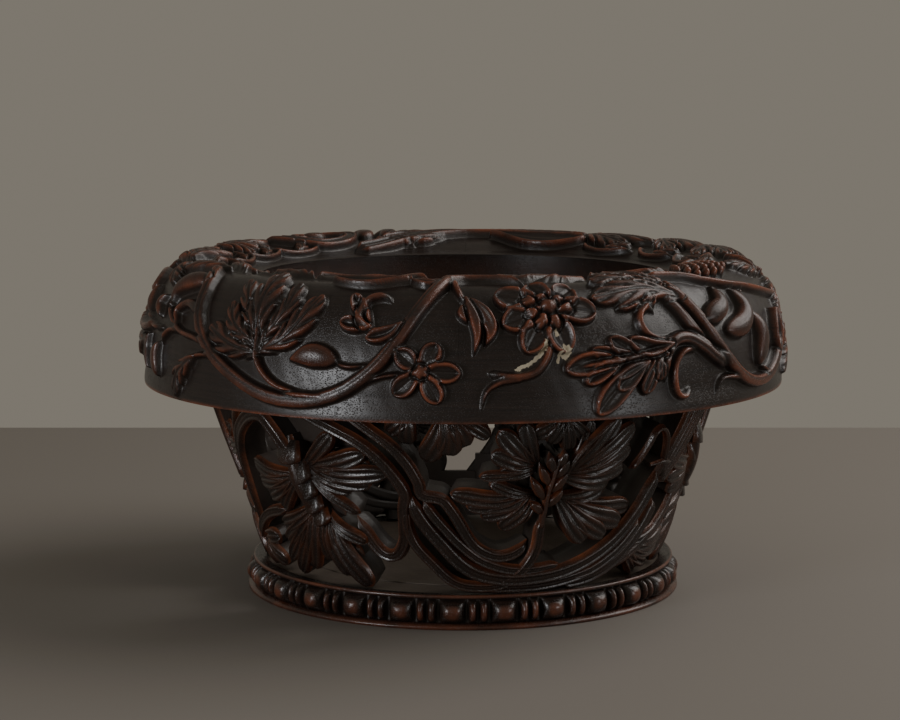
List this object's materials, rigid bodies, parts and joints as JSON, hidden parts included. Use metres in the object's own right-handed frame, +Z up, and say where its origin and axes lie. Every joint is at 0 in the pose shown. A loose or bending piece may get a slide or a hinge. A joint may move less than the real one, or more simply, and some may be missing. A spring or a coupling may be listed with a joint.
{
  "type": "carved wooden bowl",
  "caption": "Round carved hardwood bowl stand: wide rim ring with vine, leaf and flower relief on a flaring pierced body and a round board with bead-and-reel edge",
  "frame": {"origin": "centre of the flat underside of the base board, on the surface the bowl stands on", "axes": "+Z up along the axis of the round rim and board, -Y towards the front of the carving as first seen, +X to its right"},
  "size_m": [0.5598, 0.5598, 0.2916],
  "materials": {
    "rim_wood": "dark stained and waxed hardwood, red-brown where the carving is rubbed",
    "body_wood": "dark stained hardwood, waxed outside, dusty grey-brown inside",
    "moulding_wood": "dark stained and waxed hardwood, bead fronts rubbed red-brown",
    "board_wood": "plain turned hardwood board, dull and dusty"
  },
  "bodies": {
    "root": {"base_board": "board_wood", "moulding_1": "moulding_wood", "moulding_2": "moulding_wood", "moulding_3": "moulding_wood", "moulding_4": "moulding_wood", "moulding_5": "moulding_wood", "moulding_6": "moulding_wood", "moulding_7": "moulding_wood", "moulding_8": "moulding_wood", "moulding_9": "moulding_wood", "stave_1": "body_wood", "stave_2": "body_wood", "stave_3": "body_wood", "stave_4": "body_wood", "stave_5": "body_wood", "stave_6": "body_wood", "stave_7": "body_wood", "stave_8": "body_wood", "rim_lower_1": "rim_wood", "rim_lower_2": "rim_wood", "rim_lower_3": "rim_wood", "rim_lower_4": "rim_wood", "rim_lower_5": "rim_wood", "rim_lower_6": "rim_wood", "rim_lower_7": "rim_wood", "rim_lower_8": "rim_wood", "rim_upper_1": "rim_wood", "rim_upper_2": "rim_wood", "rim_upper_3": "rim_wood", "rim_upper_4": "rim_wood", "rim_upper_5": "rim_wood", "rim_upper_6": "rim_wood", "rim_upper_7": "rim_wood", "rim_upper_8": "rim_wood"}
  },
  "joints": []
}
